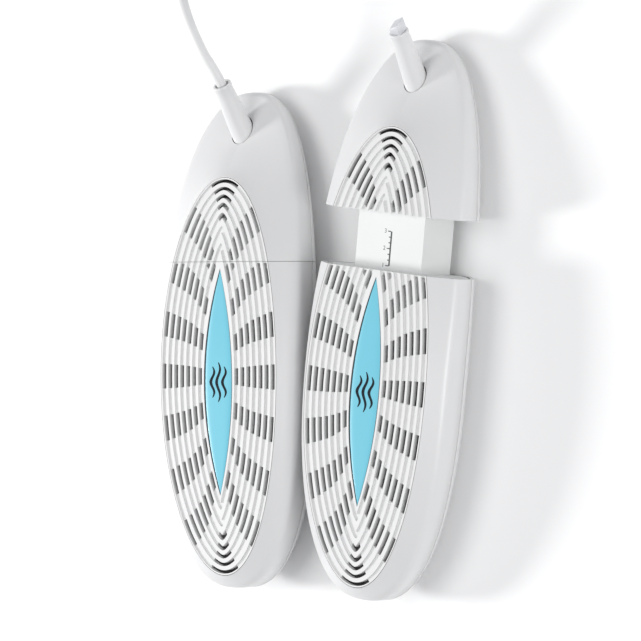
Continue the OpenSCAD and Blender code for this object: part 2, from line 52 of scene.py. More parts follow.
# The dryer's dimensions in millimetres, in a frame of its own: the origin is under the middle of
# the closed dryer, its heel end points along +Y and its slotted face looks along +Z.
HEEL_Y = 88  # end of the heel section
TOE_Y = -88  # end of the toe section of a closed dryer
BODY_W = 65  # greatest width of the outline
WIDE_Y = -8  # where it is widest
BLUNT = 2.4  # power of the outline's curve: 2 would be half an ellipse at each end
WALL = 1.8  # thickness of the shells
SPLIT_Y = 27.6  # where the two sections meet
SPLIT_GAP = 0.14  # fine gap between them
TRAVEL = 20  # how far the drawn-out dryer is drawn out

FACE_Y = -13  # middle of the slotted face, which is an ellipse seen from above
FACE_A = 70.5  # its half-length
FACE_Z = 27  # its height at the middle
PLATE_B = 27  # its half-width
CROWN_R = 711  # radius of its crown along Y
FIT = 0.15  # play round the face plate

EDGE_Z = 21.5  # height of the rim beside the middle of the face
HEEL_FALL = 0.0012  # how it falls towards the heel, per square millimetre of way
TOE_FALL = 0.0004  # how it falls towards the toe
SEAM_SHARE = 0.62  # height of the seam between the half-shells, as a share of the rim's height

LEAF_Y = -15  # middle of the leaf
LEAF_A = 39.8  # its half-length
LEAF_B = 6.2  # its half-width

STEM_ROOT = (0, 74, 13.6)  # where the stem tube stands on the roof
STEM_TILT = 35  # its rise from the horizontal, in degrees
STEM_L = 20  # its length outside
STEM_IN = 9  # its length inside
STEM_R = 4.3  # its radius at the root
STEM_TIP_R = 3.4  # its radius at the mouth
MOUTH_R = 2.5  # bore at the mouth
MOUTH_D = 3  # depth of that bore
LEAD_D = 3.6  # thickness of the lead


# ---------------------------------------------------------------- where the dryers lie
def middle(node):
    """The middle of a CAD node's box."""
    low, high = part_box(node)
    return (low + high) / 2


def dryer_frames():
    """For each side, the matrices from a dryer's own millimetres to the row frame: heel and toe."""
    pull = {j["name"]: Vector(j["axis"]) for j in frame["joints"]}
    out = {}
    for side in SIDES:
        along = -pull[side + "_extension"].normalized()
        turn = Matrix.Rotation(math.atan2(-along.x, along.y), 4, "Z")
        drawn = TRAVEL if side == "right" else 0
        leaf = middle(side + "_leaf_inlay")
        origin = Vector((leaf.x, leaf.y, 0)) - along * (LEAF_Y - drawn) * MM
        heel = Matrix.Translation(origin) @ turn @ Matrix.Scale(MM, 4)
        out[side, "heel"] = heel
        out[side, "toe"] = heel @ Matrix.Translation((0, -drawn, 0))
    return out


PLACE = dryer_frames()


def row(point):
    """A point of the left dryer's own frame, in the row frame."""
    return PLACE["left", "heel"] @ Vector(point)


def linked(name, data):
    """A new object of that data, in the scene."""
    thing = bpy.data.objects.new(name, data)
    bpy.context.scene.collection.objects.link(thing)
    return thing


# ---------------------------------------------------------------- camera
CAMERA_TILT = 40  # degrees from looking straight down, towards the dryers' right
CAMERA_AWAY = 2.12  # metres from the point that it looks at
AIM_RIGHT, AIM_UP = 0.0094, 0.0233  # metres from between the leaves to that point
LENS = 340


def make_camera():
    """A long lens over the pair, looking from the right with the heel ends at the top."""
    tilt = math.radians(CAMERA_TILT)
    right = Vector((math.cos(tilt), 0, -math.sin(tilt)))
    up = Vector((0, 1, 0))
    back = right.cross(up)
    aim = (middle("left_leaf_inlay") + middle("right_leaf_inlay")) / 2
    aim += AIM_RIGHT * right + AIM_UP * up
    camera = linked("camera", bpy.data.cameras.new("camera"))
    camera.data.lens = LENS
    camera.data.clip_start = 0.01
    camera.matrix_world = Matrix.Translation(aim + CAMERA_AWAY * back) @ Matrix(
        (right, up, back)).transposed().to_4x4()
    bpy.context.scene.camera = camera


make_camera()

# ---------------------------------------------------------------- lead
# From the stem's mouth to the start of the coil, and from the coil's end into the plug.
LEAD_ROUTE = [
    (0, 88.1, 23.5), (0, 91.2, 25.7), (-0.9, 95.5, 28.3), (-3.2, 101, 30.9), (-7, 109, 32.3),
    (-11.5, 117, 31.4), (-16.5, 125, 28.2), (-20.8, 132, 23.2), (-23.8, 139, 17),
    (-25.5, 146, 10.5), (-26, 152, 6), (-26, 157, 3.6),
]
TAIL_ROUTE = [
    (-2.4, 183.6, 13.6), (4, 183.8, 13.3), (10, 184, 11.8), (16, 184.2, 10), (22, 184.2, 9),
    (26.5, 184.2, 8.8),
]
COIL_AT = (-2.4, 160)  # middle of the coil
COIL_MID_R = 20  # radius of its middle turns
COIL_Z = 1  # height of its underside
COIL_TURNS = 10.25
# The turns of the coil at which the lead starts to move in, out or up, and how long a move takes.
SHIFTS_IN, SHIFTS_OUT, SHIFT_TURN = (0.56, 1.56, 5.86, 6.86), (3, 4, 8.3, 9.3), 0.36
CLIMBS, CLIMB_TURN = (2.32, 4.9, 7.62), 0.3
LEAD_STEP = 1.5  # length between the lead's points outside the coil
COIL_STEPS = 36  # points to a turn of the coil


def ramp(p, start, end):
    """0 before start, 1 after end, and a cosine rise between them."""
    share = min(1, max(0, (p - start) / (end - start)))
    return 0.5 - 0.5 * math.cos(math.pi * share)


def coil_points():
    """The coil, wound in and out in four layers: its turns move over and up by one diameter."""
    points = []
    for i in range(round(COIL_TURNS * COIL_STEPS) + 1):
        n = i / COIL_STEPS
        over = sum(ramp(n, at, at + SHIFT_TURN) for at in SHIFTS_OUT)
        over -= sum(ramp(n, at, at + SHIFT_TURN) for at in SHIFTS_IN)
        layer = sum(ramp(n, at, at + CLIMB_TURN) for at in CLIMBS)
        radius = COIL_MID_R + LEAD_D * (1 + over)
        angle = math.pi - 2 * math.pi * n
        points.append((
            COIL_AT[0] + radius * math.cos(angle), COIL_AT[1] + radius * math.sin(angle),
            COIL_Z + LEAD_D * (0.5 + layer)))
    return points


def smooth_line(route):
    """Points at about every step along a smooth curve through the route."""
    points = [Vector(p) for p in route]
    ends = [2 * points[0] - points[1]] + points + [2 * points[-1] - points[-2]]
    out = []
    for a, b, c, d in zip(ends, ends[1:], ends[2:], ends[3:]):
        parts = max(1, round((c - b).length / LEAD_STEP))
        for i in range(parts):
            t = i / parts
            out.append(0.5 * (2 * b + (c - a) * t + (2 * a - 5 * b + 4 * c - d) * t ** 2
                              + (3 * b - a - 3 * c + d) * t ** 3))
    return out + [points[-1]]


def make_lead():
    """The whole lead as one tube, with the points of its middle line."""
    coil = coil_points()
    line = [row(p) for p in smooth_line(LEAD_ROUTE + coil[:1])[:-1]]
    line += [row(p) for p in coil[:-1]]
    line += [row(p) for p in smooth_line(TAIL_ROUTE)]
    data = bpy.data.curves.new("lead", "CURVE")
    data.dimensions = "3D"
    # The points' own radius gives the thickness, so that the curve's bounds stay true.
    data.bevel_depth = 1
    data.bevel_resolution = 5
    data.use_fill_caps = True
    spline = data.splines.new("POLY")
    spline.points.add(len(line) - 1)
    for point, place in zip(spline.points, line):
        point.co = (*place, 1)
        point.radius = LEAD_D / 2 * MM
    lead = linked("lead", data)
    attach(lead, "left_heel_section")
    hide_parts("mains_lead", "lead_coil", "lead_tail")
    return lead, line


lead, lead_line = make_lead()

# ---------------------------------------------------------------- materials
GRAIN = 2500  # scale of the fine specks
GRAIN_HEIGHT = 0.00001  # metres
GLOSS_PLAY = 0.06  # how far the specks move the roughness each way


def material(name, colour, shade, rough, sockets, mottle=45):
    """Two close colours in soft clouds, with a fine grain in the gloss and in the surface."""
    mat = bpy.data.materials.new(name)
    mat.use_nodes = True
    nodes, links = mat.node_tree.nodes, mat.node_tree.links
    shader = nodes["Principled BSDF"]
    place = nodes.new("ShaderNodeTexCoord")

    def noise(scale, detail):
        node = nodes.new("ShaderNodeTexNoise")
        node.inputs["Scale"].default_value = scale
        node.inputs["Detail"].default_value = detail
        links.new(place.outputs["Object"], node.inputs["Vector"])
        return node.outputs["Fac"]

    clouds, specks = noise(mottle, 4), noise(GRAIN, 2)
    mix = nodes.new("ShaderNodeMix")
    mix.data_type = "RGBA"
    mix.inputs["A"].default_value = (*colour, 1)
    mix.inputs["B"].default_value = (*shade, 1)
    links.new(clouds, mix.inputs["Factor"])
    links.new(mix.outputs["Result"], shader.inputs["Base Color"])
    gloss = nodes.new("ShaderNodeMapRange")
    gloss.inputs["To Min"].default_value = rough - GLOSS_PLAY
    gloss.inputs["To Max"].default_value = rough + GLOSS_PLAY
    links.new(specks, gloss.inputs["Value"])
    links.new(gloss.outputs["Result"], shader.inputs["Roughness"])
    bump = nodes.new("ShaderNodeBump")
    bump.inputs["Distance"].default_value = GRAIN_HEIGHT
    links.new(specks, bump.inputs["Height"])
    links.new(bump.outputs["Normal"], shader.inputs["Normal"])
    for socket, value in sockets.items():
        shader.inputs[socket].default_value = value
    return mat


METAL = {"Metallic": 1}
INK = {"Specular IOR Level": 0.1}
# For each finish: its two colours, its roughness, and shader inputs that aren't the usual ones.
FINISHES = {
    "shell_white": ((0.75, 0.75, 0.75), (0.725, 0.725, 0.73), 0.36,
                    {"Coat Weight": 0.15, "Coat Roughness": 0.2}),
    "grille_white": ((0.77, 0.77, 0.765), (0.74, 0.74, 0.74), 0.45, {}),
    "leaf_blue": ((0.148, 0.54, 0.68), (0.123, 0.505, 0.64), 0.35, {"Coat Weight": 0.1}),
    "tube_white": ((0.78, 0.78, 0.78), (0.755, 0.755, 0.76), 0.36, {}),
    "sleeve_white": ((0.8, 0.81, 0.805), (0.77, 0.78, 0.775), 0.4, {}),
    "inner_plastic": ((0.55, 0.55, 0.54), (0.5, 0.5, 0.5), 0.5, {}),
    # Dark plastic for the heater bracket; also painted shade in the gap round the leaf.
    "dark_plastic": ((0.03, 0.03, 0.032), (0.02, 0.02, 0.022), 0.45, {}),
    "wire_rubber": ((0.12, 0.12, 0.12), (0.08, 0.08, 0.08), 0.55, {}),
    "screw_steel": ((0.55, 0.55, 0.56), (0.42, 0.42, 0.43), 0.3, METAL),
    "fin_aluminium": ((0.75, 0.76, 0.77), (0.62, 0.63, 0.65), 0.35, METAL),
    "stone_ceramic": ((0.16, 0.15, 0.15), (0.1, 0.1, 0.1), 0.75, {}),
    "fuse_metal": ((0.7, 0.68, 0.62), (0.58, 0.56, 0.5), 0.28, METAL),
    "clear_tip": ((0.93, 0.94, 0.96), (0.85, 0.86, 0.9), 0.35,
                  {"Transmission Weight": 0.35, "IOR": 1.49}),
    "lead_white": ((0.8, 0.8, 0.8), (0.77, 0.77, 0.775), 0.45, {}),
    "tie_grey": ((0.2, 0.2, 0.21), (0.14, 0.14, 0.15), 0.6, {}),
    "plug_white": ((0.84, 0.84, 0.84), (0.8, 0.8, 0.81), 0.4, {}),
    "blade_metal": ((0.78, 0.7, 0.5), (0.66, 0.58, 0.4), 0.25, METAL),
    # Painted shade: the darker inside of the dryers' hollow, seen through the slots.
    "inner_painted_shade": ((0.42, 0.42, 0.42), (0.38, 0.38, 0.38), 0.6, {}),
    "ink_dark": ((0.02, 0.025, 0.03), (0.015, 0.02, 0.025), 0.8, INK),
    "ink_grey": ((0.12, 0.13, 0.13), (0.1, 0.11, 0.11), 0.8, INK),
}
MATS = {name: material(name, *finish) for name, finish in FINISHES.items()}
lead.data.materials.append(MATS["lead_white"])

# ---------------------------------------------------------------- mesh helpers
WELD = 0.002  # points closer than this, in millimetres, become one
NO_RADIUS = 0.001  # for the ends of a turned rod, on its axis
AXIS_REACH = 60  # how far along Y the middle of a dryer's hollow reaches
INWARD = 0.15  # how much a face has to look that way to count as inside


def new_object(name, points, faces, place, sharp=40):
    """A welded mesh with outward normals, smooth but for edges sharper than that many degrees."""
    data = bpy.data.meshes.new(name)
    data.from_pydata([place @ Vector(p) for p in points], [], faces)
    work = bmesh.new()
    work.from_mesh(data)
    bmesh.ops.remove_doubles(work, verts=work.verts, dist=WELD * MM)
    bmesh.ops.recalc_face_normals(work, faces=work.faces)
    work.to_mesh(data)
    work.free()
    data.shade_smooth()
    data.set_sharp_from_angle(angle=math.radians(sharp))
    return linked(name, data)


def evaluated_mesh(thing):
    """A new mesh of the object as its modifiers leave it."""
    graph = bpy.context.evaluated_depsgraph_get()
    return bpy.data.meshes.new_from_object(thing.evaluated_get(graph))


def apply_modifiers(thing):
    """Makes the object's modifiers part of its mesh."""
    data = evaluated_mesh(thing)
    thing.modifiers.clear()
    thing.data = data


def cut(thing, cutter, sharp=40):
    """Takes the cutter away from the object, for good."""
    modifier = thing.modifiers.new("cut", "BOOLEAN")
    modifier.operation = "DIFFERENCE"
    modifier.solver = "EXACT"
    modifier.object = cutter
    apply_modifiers(thing)
    bpy.data.objects.remove(cutter)
    thing.data.shade_smooth()
    thing.data.set_sharp_from_angle(angle=math.radians(sharp))


def settle(thing, side, part, slot, *nodes, mat=None):
    """Gives a piece its finish, its body and the CAD nodes that it stands for."""
    thing.data.materials.clear()
    thing.data.materials.append(MATS[mat or slot])
    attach(thing, f"{side}_{part}_section")
    if nodes:
        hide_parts(*nodes)


def darken_inside(thing, place, height):
    """Paints shade on the faces that look towards the dryer's hollow, at that height: they take a
    darker material, painted shade for the dim inside.
    """
    # The inside faces take this darker material as painted shade.
    thing.data.materials.append(MATS["inner_painted_shade"])
    back = place.inverted()
    for face in thing.data.polygons:
        centre = back @ face.center
        hollow = Vector((0, min(AXIS_REACH, max(-AXIS_REACH, centre.y)), height))
        way = hollow - centre
        if (back.to_3x3() @ face.normal).dot(way) > INWARD * way.length / MM:
            face.material_index = 1


def loop_faces(rings, n, closed=False):
    """Quads between rings of n points each."""
    faces = []
    for i in range(rings if closed else rings - 1):
        here, there = i * n, (i + 1) % rings * n
        faces += [(here + j, here + (j + 1) % n, there + (j + 1) % n, there + j) for j in range(n)]
    return faces


def strip_cap(start, n):
    """Quads across a loop of n points, each point of its first half joined to its mirror."""
    return [(start + j, start + j + 1, start + n - 2 - j, start + n - 1 - j)
            for j in range(n // 2 - 1)]


def swept(name, loops, place, sharp=40):
    """A solid through loops of equal length, capped at both ends."""
    n = len(loops[0])
    faces = loop_faces(len(loops), n) + strip_cap(0, n) + strip_cap((len(loops) - 1) * n, n)
    return new_object(name, [p for loop in loops for p in loop], faces, place, sharp)


def turned(name, solids, place, around=64, sharp=40):
    """Turned solids, each given as the x and y of its axis and its closed (radius, z) profile."""
    points, faces = [], []
    for x, y, profile in solids:
        start = len(points)
        for i in range(around):
            a = 2 * math.pi * i / around
            points += [(x + r * math.cos(a), y + r * math.sin(a), z) for r, z in profile]
        faces += [tuple(start + v for v in f) for f in loop_faces(around, len(profile), True)]
    return new_object(name, points, faces, place, sharp)


def rod(radius, low, high):
    """The profile of a plain rod for turned."""
    return [(NO_RADIUS, low), (radius, low), (radius, high), (NO_RADIUS, high)]


# The faces of a box whose corners count up along z first, then y, then x.
BOX_FACES = [(0, 1, 3, 2), (4, 6, 7, 5), (0, 4, 5, 1), (2, 3, 7, 6), (0, 2, 6, 4), (1, 5, 7, 3)]


def boxes(name, corners, place):
    """Boxes from pairs of opposite corners, as one object."""
    points, faces = [], []
    for low, high in corners:
        start = len(points)
        points += [(x, y, z) for x in (low[0], high[0]) for y in (low[1], high[1])
                   for z in (low[2], high[2])]
        faces += [tuple(start + v for v in face) for face in BOX_FACES]
    return new_object(name, points, faces, place)


def bezier(a, b, c, d, steps):
    """Points on the cubic curve from a to d, pulled by b and c."""
    out = []
    for i in range(steps + 1):
        t = i / steps
        out.append(a * (1 - t) ** 3 + b * 3 * t * (1 - t) ** 2 + c * 3 * t * t * (1 - t)
                   + d * t ** 3)
    return out


# ---------------------------------------------------------------- the dryer's outline and heights
def body_half(y):
    """Half the body's width at y."""
    reach = HEEL_Y - WIDE_Y if y > WIDE_Y else WIDE_Y - TOE_Y
    t = abs(y - WIDE_Y) / reach
    return BODY_W / 2 * max(0, 1 - t ** BLUNT) ** (1 / BLUNT)


def face_half(y):
    """Half the face's width at y."""
    return PLATE_B * math.sqrt(max(0, 1 - ((y - FACE_Y) / FACE_A) ** 2))


def leaf_half(y):
    """Half the leaf's width at y."""
    return LEAF_B * max(0, 1 - ((y - LEAF_Y) / LEAF_A) ** 2)


def crown(y):
    """Height of the face at y."""
    return FACE_Z - CROWN_R + math.sqrt(CROWN_R ** 2 - (y - FACE_Y) ** 2)


def rim_z(y):
    """Height of the shell's rim at y."""
    return EDGE_Z - (HEEL_FALL if y > FACE_Y else TOE_FALL) * (y - FACE_Y) ** 2


def section(part):
    """Where a section starts at the split and where it ends."""
    if part == "heel":
        return SPLIT_Y + SPLIT_GAP / 2, HEEL_Y
    return SPLIT_Y - SPLIT_GAP / 2, TOE_Y


def run_y(t, start, end):
    """Y at station t, where 0 is a section's end and -1 and 1 are the split."""
    return start + (end - start) * math.sin(math.pi / 2 * (1 - abs(t)))


def body_point(t, start, end, inset):
    """The outline at station t of a section, drawn in by that much."""
    y = run_y(t, start, end)
    inner_end = end - math.copysign(inset, end)
    x = math.copysign(body_half(y) * (1 - 2 * inset / BODY_W), t) if t else 0
    return Vector((x, start + (y - start) * (inner_end - start) / (end - start)))


def face_point(t, start, end):
    """The face's outline at station t of a section."""
    y = run_y(t, start, end)
    return Vector((math.copysign(face_half(y), t) if t else 0, y))


def stem_place(place, height=0):
    """The frame of the stem tube: its z axis along the tube, its origin on the roof."""
    tilt = Matrix.Rotation(math.radians(STEM_TILT - 90), 4, "X")
    return place @ Matrix.Translation(STEM_ROOT) @ tilt @ Matrix.Translation((0, 0, height))


# ---------------------------------------------------------------- shells
# Stations run round a section from the split on one side, over its end, to the other side.
STATIONS = [i / 72 for i in range(-72, 73)]
SCOOP = 2.2  # hollow of the heel section's roof
SEAM_BEVEL = 0.25  # bevel of both shells along their seam
SEAM_GAP = 0.1  # fine gap between them
RIM_R = 1.9  # rounding of the rim
RIM_MOST = 0.45  # most of the roof's width that it may take
RIM_PULL = 0.6  # how far its curve is pulled towards the corner
RIM_STEPS, ROOF_STEPS = 5, 7
ROOF_END = 0.97  # share of the way to the face where the roof's last point is
# The opening's edge: share of the way to the face, drop there, and drop at the face itself.
EDGE_SHARE, EDGE_DROP, FACE_DROP = 0.99, 0.04, 0.2
# The inside: the roof's shares of the way to the face, then three points down the wall.
INNER_SHARES = (0.9, 0.8, 0.7, 0.6, 0.5, 0.4, 0.3, 0.2, 0.1, 0.05, 0.02)
INNER_DROP, INNER_STEP = 1.25 * WALL, 0.5
# The bottom shell's outer and inner curves: inset, share of the seam's height, and height added.
FLANK, FLANK_STEPS = ((0, 1, -0.2), (0.2, 0.8, 0), (6.5, 0.2, 0), (10.4, 0, 0)), 9
HOLLOW, HOLLOW_STEPS = ((WALL, 1, 0), (2, 0.8, 0), (7.6, 0.2, 1.6), (11, 0, WALL)), 10
STEM_PLAY = 0.3  # play of the stem in the roof
SCREWS = {"heel": ((-18, 36), (18, 36), (-7.5, 68), (7.5, 68)),
          "toe": ((-18, 12), (18, 12), (-12, -58), (12, -58))}
VENTS = {"heel": (40, 46, 52), "toe": (-72, -66, 2)}  # where along Y each vent starts
VENT_L, VENT_W = 16, 1.6  # across the base and along it
HEAD_R, HEAD_H, HEAD_Z = 2.3, 1.6, 0.6  # the screws' heads, and their height in the base
HEAD_PLAY = 0.2  # play of the heads in their holes


def top_loop(t, start, end, face_end, scoop):
    """The top shell's section: up the wall, round the rim, over the roof to the face, and back."""
    rim, face = body_point(t, start, end, 0), face_point(t, start, face_end)
    inside, bevel = body_point(t, start, end, WALL), body_point(t, start, end, SEAM_BEVEL)
    seam, low, high = SEAM_SHARE * rim_z(rim.y), rim_z(rim.y), crown(face.y)
    hollow = scoop * (1 - abs(t)) ** 2

    def roof(u, base=rim, drop=0.0):
        z = low + (high - low) * u - hollow * math.sin(math.pi * u) - drop
        return Vector((*base.lerp(face, u), z))

    turn = min(RIM_MOST, RIM_R / (roof(1) - roof(0)).length)
    corner, first, last = Vector((*rim, low)), Vector((*rim, low - RIM_R)), roof(turn)
    outer = [Vector((*bevel, seam)), Vector((*rim, seam + SEAM_BEVEL))]
    outer += bezier(first, first.lerp(corner, RIM_PULL), last.lerp(corner, RIM_PULL), last,
                    RIM_STEPS)
    outer += [roof(turn + (ROOF_END - turn) * k / ROOF_STEPS) for k in range(1, ROOF_STEPS + 1)]
    outer += [Vector((*rim.lerp(face, EDGE_SHARE), high - EDGE_DROP)),
              Vector((*face, high - FACE_DROP))]
    inner = [Vector((*face, high - WALL))] + [roof(u, inside, WALL) for u in INNER_SHARES]
    inner += [Vector((*inside, low - INNER_DROP - k * INNER_STEP)) for k in range(3)]
    return outer + inner + [Vector((*inside, seam))]


def low_loop(t, start, end):
    """The bottom shell's section: down its round flank to the flat base, and up the inside."""
    seam = SEAM_SHARE * rim_z(body_point(t, start, end, 0).y) - SEAM_GAP

    def curve(shape, steps):
        pulls = [Vector((inset, share * seam + extra)) for inset, share, extra in shape]
        return [Vector((*body_point(t, start, end, p.x), p.y)) for p in bezier(*pulls, steps)]

    bevel = Vector((*body_point(t, start, end, SEAM_BEVEL), seam))
    return [bevel] + curve(FLANK, FLANK_STEPS) + curve(HOLLOW, HOLLOW_STEPS)[::-1]


def tray(name, loops, place):
    """A bottom shell: its sections joined, and its base and floor closed from side to side."""
    n, last = len(loops[0]), len(loops) - 1
    under, over = n // 2 - 1, n // 2  # the loops' points at the edges of the base and of the floor
    faces = [f for f in loop_faces(len(loops), n) if f[0] % n != under]
    for j in (under, over):
        faces += [(i * n + j, (i + 1) * n + j, (last - 1 - i) * n + j, (last - i) * n + j)
                  for i in range(last // 2 - 1)]
        mid = last // 2
        faces.append(((mid - 1) * n + j, mid * n + j, (mid + 1) * n + j))
    faces += strip_cap(0, n) + strip_cap(last * n, n)
    faces.append((under, over, last * n + over, last * n + under))
    return new_object(name, [p for loop in loops for p in loop], faces, place)


def make_top_shell(side, part):
    """The upper half of a section's shell, with the stem's hole in the heel one."""
    place = PLACE[side, part]
    start, end = section(part)
    face_end = FACE_Y + math.copysign(FACE_A, end)
    scoop = SCOOP if part == "heel" else 0
    loops = [top_loop(t, start, end, face_end, scoop) for t in STATIONS]
    shell = swept(f"{side}_{part}_top_skin", loops, place, 50)
    if part == "heel":
        hole = turned("hole", [(0, 0, rod(STEM_R + STEM_PLAY, -8, 9))], stem_place(place))
        cut(shell, hole, 50)
    settle(shell, side, part, "shell_white", f"{side}_{part}_top_shell")
    # Painted shade on the faces inside the hollow.
    darken_inside(shell, place, 8)


def make_bottom_shell(side, part):
    """The lower half of a section's shell, with its screw holes and vents."""
    place = PLACE[side, part]
    loops = [low_loop(t, *section(part)) for t in STATIONS]
    shell = tray(f"{side}_{part}_tray", loops, place)
    for x, y in SCREWS[part]:
        spot = place @ Matrix.Translation((x, y, 0))
        hole = rod(HEAD_R + HEAD_PLAY, -1, HEAD_Z + HEAD_H)
        cut(shell, turned("hole", [(0, 0, hole)], spot, 32))
    for y in VENTS[part]:
        cut(shell, boxes("vent", [((-VENT_L / 2, y, -1), (VENT_L / 2, y + VENT_W, 3))], place))
    settle(shell, side, part, "shell_white", f"{side}_{part}_bottom_shell")
    # Painted shade on the faces inside the hollow.
    darken_inside(shell, place, 10)


# ---------------------------------------------------------------- slotted face
PLATE_T = 1.75  # thickness of the face plate
RING_B = 25.35  # half-width of the outermost ring
RING_PITCH = 2.81  # from one ring to the next at the middle
SLOT_W = 1.95  # width of the grooves and slots
RING_POWER, POWER_STEP = 0.5, 0.06  # how pointed the outermost ring is, and each next one more
TIP_RIM = 1.3  # from the face's tip to the outermost ring's
TIP_STEPS = [0, 2.65, 5.4, 8.4, 12.2, 17.2, 23.3]  # from there to each ring's tip
TIP_HALF = [0.6, 0.6, 0.65, 0.75, 0.95, 1.15, 1.25]  # half a groove's width at its tip, along Y
TIP_HOLD, TIP_CLOSE = 0.3, 1.4  # how a groove keeps its width, and how its edges run together
GROOVE_D = 0.55  # depth of the grooves
GROOVE_SLOPE = 0.04  # slope of their walls, as a share of half their width
# Places along a ring are shares of its half-length, from -1 at the toe to 1 at the heel.
SLOT_SHARE = [-0.8, -0.54, -0.267, 0, 0.267, 0.54, 0.8]  # middles of the slots
SLOT_REACH = 0.064  # from there to their ends
TIP_SLOT_F = 0.971  # where the slots round the tips start
TIP_RINGS = 5  # how many rings have such slots
LEAST_SLOT = 2  # a slot with less than this left at the split stays closed
BRIDGE = 0.5  # width of the closed edge along the split
TIP_ANGLES = range(-90, -77, 2)  # rows round the tips, as angles whose sine is the share
ROW_STEPS, LONG_ROW_STEPS = 4, 7  # rows between two ends of slots, and near the tips
ON_PLANE = 0.0001  # points closer than this to a cutting plane lie on it


def ring_point(k, off, f):
    """A point on ring k's groove: off is from -1 at its inner edge to 1 at its outer edge."""
    half, power = RING_B - k * RING_PITCH, RING_POWER + POWER_STEP * k
    share = max(0, 1 - f * f)
    # The groove keeps its width until close to the tip, where both edges run together.
    width = min(share ** TIP_HOLD, TIP_CLOSE * half / SLOT_W * share ** power)
    long = FACE_A - TIP_RIM - TIP_STEPS[k] + off * TIP_HALF[k]
    return Vector((half * share ** power + off * SLOT_W / 2 * width, FACE_Y + long * f))


def face_rows():
    """Shares of a ring's half-length, with rows at every slot's ends."""
    marks = sorted({-TIP_SLOT_F, TIP_SLOT_F}.union(*(
        {share - SLOT_REACH, share + SLOT_REACH} for share in SLOT_SHARE)))
    tip = [math.sin(math.radians(a)) for a in TIP_ANGLES]
    rows = list(tip)
    for a, b in zip(marks, marks[1:]):
        near_tip = b - a > 0.1 and abs(a + b) > 1.5
        steps = LONG_ROW_STEPS if near_tip else ROW_STEPS
        rows += [a + (b - a) * i / steps for i in range(steps)]
    return rows + [marks[-1]] + [-f for f in reversed(tip)]


def slot_ends(k, f):
    """The ends along Y of the slot of ring k at share f, or None between slots."""
    if abs(f) > TIP_SLOT_F:
        ends = (-1, -TIP_SLOT_F) if f < 0 else (TIP_SLOT_F, 1)
        return [ring_point(k, 0, end).y for end in ends] if k < TIP_RINGS else None
    for share in SLOT_SHARE:
        if abs(f - share) < SLOT_REACH:
            return [ring_point(k, 0, share + way * SLOT_REACH).y for way in (-1, 1)]
    return None


def face_columns():
    """The lines along the sheet as functions of the share, from its border to the leaf's, and
    how far each lies below the face."""
    wide, long = PLATE_B - FIT, FACE_A - FIT
    columns = [(lambda f: Vector((wide * math.sqrt(1 - f * f), FACE_Y + long * f)), 0)]
    for k in range(len(TIP_STEPS)):
        for off, drop in ((1, 0), (1 - GROOVE_SLOPE, GROOVE_D), (GROOVE_SLOPE - 1, GROOVE_D),
                          (-1, 0)):
            columns.append((lambda f, k=k, off=off: ring_point(k, off, f), drop))
    half, reach = LEAF_B + LEAF_JOINT_W, LEAF_A + LEAF_JOINT_W
    return columns + [(lambda f: Vector((half * (1 - f * f), LEAF_Y + reach * f)), 0)]


def face_sheet():
    """The whole face as one sheet of quads, each with the ends of its slot or None."""
    rows, columns = face_rows(), face_columns()
    n = len(rows)
    points, quads, slots = [], [], []
    for m in (1, -1):
        start = len(points)
        for column, drop in columns:
            for f in rows:
                x, y = column(f)
                points.append((m * max(0, x), y, crown(y) - drop))
        for c in range(len(columns) - 1):
            # Four strips to a ring: its outer slope, the groove's floor, its inner slope, the land.
            ring, strip = divmod(c - 1, 4)
            for i in range(n - 1):
                a = start + c * n + i
                quads.append((a, a + n, a + n + 1, a + 1)[::m])
                mid = (rows[i] + rows[i + 1]) / 2
                slots.append(slot_ends(ring, mid) if strip == 1 else None)
    return points, quads, slots


def cut_sheet(part, points, quads, slots):
    """One section of the sheet with its slots open: its points, its faces and its border edges."""
    start, _ = section(part)
    way = 1 if part == "heel" else -1
    sheet = bmesh.new()
    corners = [sheet.verts.new(p) for p in points]
    marks = sheet.faces.layers.int.new("slot")
    for quad, ends in zip(quads, slots):
        face = sheet.faces.new([corners[i] for i in quad])
        face[marks] = int(ends is not None and max(way * (y - start) for y in ends) > LEAST_SLOT)
    bmesh.ops.remove_doubles(sheet, verts=sheet.verts, dist=WELD)
    for y, keep in ((start, False), (start + way * BRIDGE, True)):
        bmesh.ops.bisect_plane(
            sheet, geom=sheet.verts[:] + sheet.edges[:] + sheet.faces[:], dist=ON_PLANE,
            plane_co=(0, y, 0), plane_no=(0, -way, 0), clear_outer=not keep)
    gone = [f for f in sheet.faces
            if f[marks] and way * (f.calc_center_median().y - start) > BRIDGE]
    bmesh.ops.delete(sheet, geom=gone, context="FACES")
    sheet.verts.index_update()
    top = [v.co.copy() for v in sheet.verts]
    faces = [tuple(v.index for v in f.verts) for f in sheet.faces]
    border = [tuple(v.index for v in e.verts) for e in sheet.edges if e.is_boundary]
    sheet.free()
    return top, faces, border


def make_grille(side, part, sheet):
    """One section's face plate, cut from the whole sheet and given its thickness."""
    top, faces, border = cut_sheet(part, *sheet)
    n = len(top)
    under = [Vector((p.x, p.y, crown(p.y) - PLATE_T)) for p in top]
    below = [tuple(i + n for i in reversed(f)) for f in faces]
    walls = [(a, b, b + n, a + n) for a, b in border]
    plate = new_object(
        f"{side}_{part}_face", top + under, faces + below + walls, PLACE[side, part], 30)
    settle(plate, side, part, "grille_white", f"{side}_{part}_grille")


